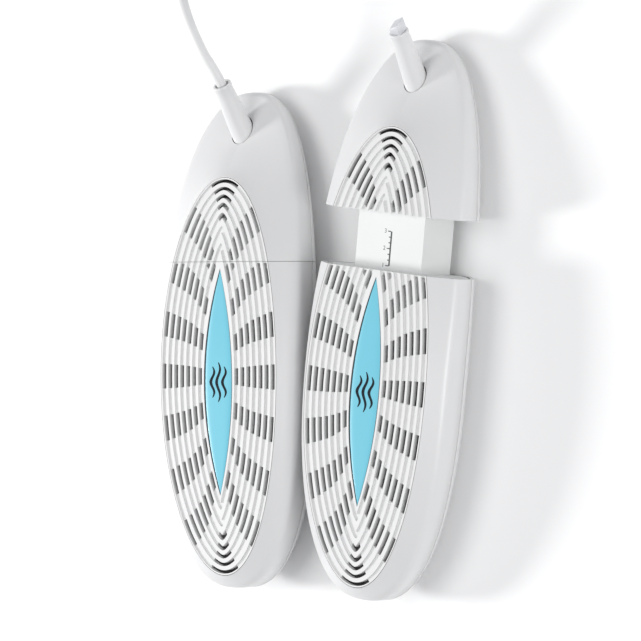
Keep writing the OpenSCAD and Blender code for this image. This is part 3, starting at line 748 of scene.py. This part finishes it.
# ---------------------------------------------------------------- leaf and its mark
LEAF_DROP = 0.2  # how far the leaf lies below the face
LEAF_T = 1.5  # its thickness
LEAF_ROUND = 0.12  # how far its edge is rounded down
LEAF_JOINT_W = 0.45  # width of the joint round it
STRIP_PLAY = 0.03  # play on both sides of the dark strip in that joint; the strip is painted shade for the gap
STRIP_TOP, STRIP_FOOT = 0.17, 1.3  # how far the strip's top and foot lie below the face
WAVE_PITCH = 2.7  # from one wave of the heat mark to the next
WAVE_L, WAVE_SIDE_L = 14, 11  # length of the middle wave and of the side ones
WAVE_SWING, WAVE_BENDS = 0.8, 1.5  # how far it swings each way, and its full swings
WAVE_TIP, WAVE_SWELL = 0.15, 0.5  # half a wave's width at its tips, and what its middle has more
WAVE_FULL = 0.6  # below 1 the width swells early and stays
WAVE_STEPS = 28
INK_OVER, INK_UNDER = 0.03, 0.05  # how far the print stands out and reaches in
LEAF_STEPS, LEAF_HALF_STEPS = 24, 8  # steps from its middle to a tip, and to an edge


def eased(steps):
    """Shares from -1 to 1 that lie closer together towards both ends."""
    return [math.sin(math.radians(90 * i / steps)) for i in range(-steps, steps + 1)]


def make_leaf(side):
    """The pointed inlay, whose top follows the face's crown and rounds down at its edge."""
    loops = []
    for along in eased(LEAF_STEPS):
        y = LEAF_Y + LEAF_A * along
        half, z = max(leaf_half(y), 0.01), crown(y) - LEAF_DROP
        shares = eased(LEAF_HALF_STEPS)
        top = [(s * half, y, z - LEAF_ROUND * abs(s) ** 8) for s in shares]
        base = [(s * half, y, z - LEAF_T) for s in reversed(shares)]
        loops.append(top + base)
    leaf = swept(f"{side}_leaf", loops, PLACE[side, "toe"], 50)
    settle(leaf, side, "toe", "leaf_blue", f"{side}_leaf_inlay")


def make_leaf_seal(side):
    """A dark strip in the joint between the leaf and the face plate: painted shade for the shadow
    in that gap.
    """
    near, far = STRIP_PLAY, LEAF_JOINT_W - STRIP_PLAY
    points = []
    turns = [(1, a) for a in range(-90, 91, 4)] + [(-1, a) for a in range(86, -87, -4)]
    for way, angle in turns:
        share = math.sin(math.radians(angle))
        for grow, drop in ((near, STRIP_TOP), (far, STRIP_TOP), (far, STRIP_FOOT), (near, STRIP_FOOT)):
            y = LEAF_Y + (LEAF_A + grow) * share
            points.append((way * (LEAF_B + grow) * (1 - share ** 2), y, crown(y) - drop))
    faces = loop_faces(len(turns), 4, True)
    shade_strip = new_object(f"{side}_leaf_gap_shade", points, faces, PLACE[side, "toe"], 30)
    # Painted shade: the strip's dark finish stands for the shadow in the gap.
    settle(shade_strip, side, "toe", "dark_plastic")


def make_heat_mark(side):
    """Three rising waves printed on the leaf."""
    points, faces = [], []
    for k in (-1, 0, 1):
        start = len(points)
        for i in range(WAVE_STEPS + 1):
            share = i / WAVE_STEPS
            y = LEAF_Y + (share - 0.5) * (WAVE_SIDE_L if k else WAVE_L)
            x = WAVE_PITCH * k + WAVE_SWING * math.sin(2 * math.pi * share * WAVE_BENDS)
            half = WAVE_TIP + WAVE_SWELL * math.sin(math.pi * share) ** WAVE_FULL
            z = crown(y) - LEAF_DROP
            points += [(x - half, y, z + INK_OVER), (x + half, y, z + INK_OVER),
                       (x + half, y, z - INK_UNDER), (x - half, y, z - INK_UNDER)]
        faces += [tuple(start + v for v in f) for f in loop_faces(WAVE_STEPS + 1, 4)]
        faces += [tuple(range(s, s + 4)) for s in (start, start + 4 * WAVE_STEPS)]
    mark = new_object(f"{side}_heat_mark", points, faces, PLACE[side, "toe"])
    settle(mark, side, "toe", "dark_plastic", mat="ink_dark")


# ---------------------------------------------------------------- stems and connector tip
LIP_R, LIP_OUT = 0.35, 0.1  # rounding of the stem's lip, and how far it stands out
LIP_FOOT, LIP_D = 0.08, 1.2  # how far its foot stands out, and its depth
NECK = 0.15  # how much thinner than its mouth the stem would taper to
STEM_BORE = 1.95
TIP_W = 4.4  # width of the connector tip
TIP_H = 3.4  # its height at the middle of its slanted top
TIP_RISE_X, TIP_RISE_Y = 1, 0.6  # how far the top rises from there to its edges
TIP_BEVEL = 0.45
TIP_IN = 0.4  # how far it reaches into the stem
# Its round shank in the stem's mouth: radius, length and bevel.
SHANK_R, SHANK_D, SHANK_BEVEL = MOUTH_R - 0.1, 2.8, 0.3


def make_stem(side):
    """The hollow stem: its tapered wall, the lip round its mouth, and its bore."""
    taper = STEM_TIP_R - NECK - STEM_R
    wall = [(STEM_R, -STEM_IN), (STEM_R, 0)]
    wall += [(STEM_R + taper * z / STEM_L, z) for z in (5, 10, 15, STEM_L - 1.5)]
    wall += [(STEM_TIP_R + LIP_FOOT, STEM_L - LIP_D)]
    lip = []
    for a in (math.radians(15 * i) for i in range(7)):
        lip.append((STEM_TIP_R + LIP_OUT + LIP_R * (math.cos(a) - 1),
                    STEM_L + LIP_R * (math.sin(a) - 1)))
    mouth = [(MOUTH_R + 0.2, STEM_L), (MOUTH_R, STEM_L - 0.2), (MOUTH_R, STEM_L - MOUTH_D),
             (STEM_BORE, STEM_L - MOUTH_D - 0.3), (STEM_BORE, -STEM_IN)]
    stem = turned(
        f"{side}_stem", [(0, 0, wall + lip + mouth)], stem_place(PLACE[side, "heel"]), 72)
    settle(stem, side, "heel", "tube_white", f"{side}_stem_tube")


def make_connector_tip():
    """The moulded end in the right stem: a square peg with a slanted top and a round shank."""
    place = stem_place(PLACE["right", "heel"], STEM_L)
    half, corners = TIP_W / 2, [(-1, -1), (-1, 1), (1, -1), (1, 1)]
    points = [(x * half, y * half, -TIP_IN) for x, y in corners]
    points += [(x * half, y * half, TIP_H + x * TIP_RISE_X + y * TIP_RISE_Y) for x, y in corners]
    tip = new_object("right_tip", points, BOX_FACES, place)
    bevel = tip.modifiers.new("edges", "BEVEL")
    bevel.width, bevel.segments = TIP_BEVEL * MM, 3
    apply_modifiers(tip)
    tip.data.shade_smooth()
    settle(tip, "right", "heel", "clear_tip", "right_connector_tip")
    profile = [(0.01, -SHANK_D), (SHANK_R - SHANK_BEVEL, -SHANK_D),
               (SHANK_R, SHANK_BEVEL - SHANK_D), (SHANK_R, 0), (0.01, 0)]
    shank = turned("right_tip_shank", [(0, 0, profile)], place, 32)
    settle(shank, "right", "heel", "clear_tip")


# ---------------------------------------------------------------- length scale on the sleeve
SLEEVE_Z = 20  # top of the sleeve
SCALE_X = 0.4  # middle of the scale's line
SCALE_Y = 29  # first tick
TICK_PITCH, TICKS = 2, 7
TICK_LONG, TICK_SHORT, TICK_HALF = 1.6, 1, 0.17  # reach from the line's middle, half-width
TICK_START = 0.2  # where they start, inside the line
LINE_HALF = 0.32  # half the width of the line that the ticks stand on
NUMBER_X, NUMBER_SIZE = SCALE_X - 2.7, 2.1  # middle and size of the numbers
PRINT_UNDER, PRINT_OVER = 0.02, 0.03  # how far the print reaches in and stands out


def make_length_scale(side):
    """The printed scale on the slide: a line with ticks, and a number at every third tick."""
    low, high = SLEEVE_Z - PRINT_UNDER, SLEEVE_Z + PRINT_OVER
    top = SCALE_Y + TICK_PITCH * (TICKS - 1)
    bars = [((SCALE_X - LINE_HALF, SCALE_Y, low), (SCALE_X + LINE_HALF, top, high))]
    for i in range(TICKS):
        y, long = SCALE_Y + TICK_PITCH * i, TICK_SHORT if i % 3 else TICK_LONG
        bars.append(((SCALE_X - long, y - TICK_HALF, low),
                     (SCALE_X - TICK_START, y + TICK_HALF, high)))
    marks = boxes(f"{side}_length_scale", bars, PLACE[side, "toe"])
    settle(marks, side, "toe", "sleeve_white", mat="ink_grey")
    for number in (1, 2, 3):
        make_scale_number(side, number, SCALE_Y + 3 * TICK_PITCH * (number - 1))


def make_scale_number(side, number, y):
    """One number of the scale, with its middle at y."""
    name = f"{side}_scale_number_{number}"
    text = bpy.data.curves.new("number", "FONT")
    text.body, text.size, text.extrude = str(number), NUMBER_SIZE, PRINT_UNDER
    text.align_x, text.align_y = "CENTER", "CENTER"
    writing = linked(name, text)
    bpy.context.view_layer.update()
    data = evaluated_mesh(writing)
    bpy.data.objects.remove(writing)
    data.transform(PLACE[side, "toe"] @ Matrix.Translation((NUMBER_X, y, SLEEVE_Z)))
    settle(linked(name, data), side, "toe", "sleeve_white", mat="ink_grey")


# ---------------------------------------------------------------- screws
SCREW_R, SHANK_PLAY = 1.25, 0.05  # radius of the CAD's shank, and how much thinner this one is
SCREW_BELOW_RIM = 4  # how far a screw's point stays below the rim
RECESS_L, RECESS_W, RECESS_D = 1.3, 0.28, 0.9  # half-length, half-width and depth of the cross


def make_screws(side, part):
    """Countersunk case screws with a cross recess, seen from below."""
    place = PLACE[side, part]
    solids = []
    for x, y in SCREWS[part]:
        point, shank, head = rim_z(y) - SCREW_BELOW_RIM, SCREW_R - SHANK_PLAY, HEAD_Z + HEAD_H
        solids.append((x, y, [
            (0.01, HEAD_Z), (1.5, HEAD_Z + 0.08), (2, HEAD_Z + 0.25), (HEAD_R - 0.05, HEAD_Z + 0.6),
            (HEAD_R, head), (shank, head), (shank, point - 1.5), (0.5, point), (0.01, point)]))
    screws = turned(f"{side}_{part}_case_screws", solids, place, 32, 35)
    for long, wide in ((RECESS_L, RECESS_W), (RECESS_W, RECESS_L)):
        bars = [((x - long, y - wide, HEAD_Z - 1), (x + long, y + wide, HEAD_Z + RECESS_D))
                for x, y in SCREWS[part]]
        cut(screws, boxes("recess", bars, place), 35)
    settle(screws, side, part, "screw_steel", f"{side}_{part}_screws")


# ---------------------------------------------------------------- plug
PLUG_AT = (26, 184.2, 8.8)  # where the lead enters it
RELIEF_STEPS, RELIEF_STEP = 21, 0.5  # rings of the plug's relief, and the way between them
RELIEF_R, RELIEF_SWELL = 2.5, 1.9  # its radius where the lead enters, and what it gains
RIB, RIB_PITCH = 0.3, 1.1  # height and pitch of its ribs
# The body's rings: place, half-width, half-height, and the power that squares them off.
PLUG_RINGS = [
    (10.6, 5.6, 5, 2.1), (11.2, 8, 6, 2.3), (12, 10.3, 7, 2.6), (13.2, 11.6, 7.7, 2.9),
    (15, 12, 8, 3), (17.5, 11.7, 7.7, 3), (20, 11.2, 7.2, 3), (22.5, 11.2, 7.2, 3),
    (25, 11.7, 7.7, 3), (27, 12, 8, 3), (28.8, 12, 8, 3), (29.6, 11.7, 7.7, 3), (30, 11, 7, 3),
    (30, 6, 4, 3), (30, 0.01, 0.01, 3),
]
PLUG_AROUND = 48  # points round a ring


def make_plug():
    """A moulded plug: a ribbed tapering relief that swells into a flat body with a waist."""
    rings = [(0.5, 1.85, 1.85, 2)]
    for i in range(RELIEF_STEPS):
        x = i * RELIEF_STEP
        rib = RIB * math.sin(math.pi * x / RIB_PITCH) ** 2 if 1 < x < 9 else 0
        r = RELIEF_R + RELIEF_SWELL * (x / 10) ** 1.3 + rib
        rings.append((x, r, r, 2))
    rings += PLUG_RINGS
    points = []
    for x, wide, high, power in rings:
        for j in range(PLUG_AROUND):
            a = 2 * math.pi * j / PLUG_AROUND
            c, s = math.cos(a), math.sin(a)
            points.append((x, wide * math.copysign(abs(c) ** (2 / power), c),
                           high * math.copysign(abs(s) ** (2 / power), s)))
    faces = loop_faces(len(rings), PLUG_AROUND) + [tuple(range(PLUG_AROUND))]
    place = PLACE["left", "heel"] @ Matrix.Translation(PLUG_AT)
    plug = new_object("plug_moulding", points, faces, place, 50)
    settle(plug, "left", "heel", "plug_white", "plug_body")
    return plug


# ---------------------------------------------------------------- CAD pieces that stay
# Each node's finish and the rounding of its edges. Those of a dryer are on both sides.
STAYING = {
    "heel_guide": ("sleeve_white", 0.2), "toe_collar": ("sleeve_white", 0.2),
    "cord_clamp": ("inner_plastic", 0), "slide_sleeve": ("sleeve_white", 0.4),
    "heater_bracket": ("dark_plastic", 0), "heat_fins": ("fin_aluminium", 0),
    "ptc_stones": ("stone_ceramic", 0), "electrode_plates": ("fuse_metal", 0),
    "thermal_fuse": ("fuse_metal", 0), "heel_leads": ("wire_rubber", 0),
    "toe_leads": ("wire_rubber", 0),
}
STAYING_ON_LEAD = {"coil_tie": ("tie_grey", 0.25), "plug_blades": ("blade_metal", 0.3)}


def dress(node, mat, rounding):
    """A CAD node with its finish, and its edges rounded by modifiers."""
    thing = frame["nodes"][node]
    thing.data.materials.clear()
    thing.data.materials.append(MATS[mat])
    if rounding:
        weld = thing.modifiers.new("weld", "WELD")
        weld.merge_threshold = 0.001 * MM
        bevel = thing.modifiers.new("edges", "BEVEL")
        bevel.width, bevel.segments, bevel.limit_method = rounding * MM, 3, "ANGLE"
        bevel.angle_limit = math.radians(50)


def dress_all():
    """Every CAD node that stays visible."""
    for side in SIDES:
        for node, look in STAYING.items():
            dress(f"{side}_{node}", *look)
    for node, look in STAYING_ON_LEAD.items():
        dress(node, *look)


# ---------------------------------------------------------------- floor and light
# Each disc lamp's place and size in metres, and its power. All of them look at the origin.
LAMPS = {
    "key": ((-0.95, -0.1, 0.52), 0.22, 7.2),
    "top": ((-0.25, 0.1, 1.8), 1.2, 10.5),
    "fill": ((1.0, -0.15, 0.4), 0.4, 3.4),
}
SKY, SKY_STRENGTH = (0.97, 0.98, 1, 1), 0.46


def make_stage():
    """The floor, the sky and the lamps."""
    floor = boxes("floor", [((-1500, -1500, -10), (1500, 1500, 0))], Matrix.Scale(MM, 4))
    floor.location.z = -0.0002
    floor.data.materials.append(
        material("floor_pale", (0.96, 0.96, 0.96), (0.95, 0.95, 0.95), 0.8, {}, mottle=4))
    world = bpy.data.worlds.new("world")
    bpy.context.scene.world = world
    world.use_nodes = True
    sky = world.node_tree.nodes["Background"]
    sky.inputs["Color"].default_value = SKY
    sky.inputs["Strength"].default_value = SKY_STRENGTH
    for name, (place, size, power) in LAMPS.items():
        light = bpy.data.lights.new(name, "AREA")
        light.shape, light.size, light.energy = "DISK", size, power
        lamp = linked(name, light)
        lamp.location = place
        lamp.rotation_euler = (-Vector(place)).to_track_quat("-Z", "Y").to_euler()
    bpy.context.scene.view_settings.view_transform = "Standard"


# ---------------------------------------------------------------- everything together
sheet = face_sheet()
for side in SIDES:
    for part in ("heel", "toe"):
        make_top_shell(side, part)
        make_bottom_shell(side, part)
        make_grille(side, part, sheet)
        make_screws(side, part)
    make_leaf(side)
    # Painted shade in the gap round the leaf.
    make_leaf_seal(side)
    make_heat_mark(side)
    make_stem(side)
    make_length_scale(side)
make_connector_tip()
plug = make_plug()
dress_all()
make_stage()
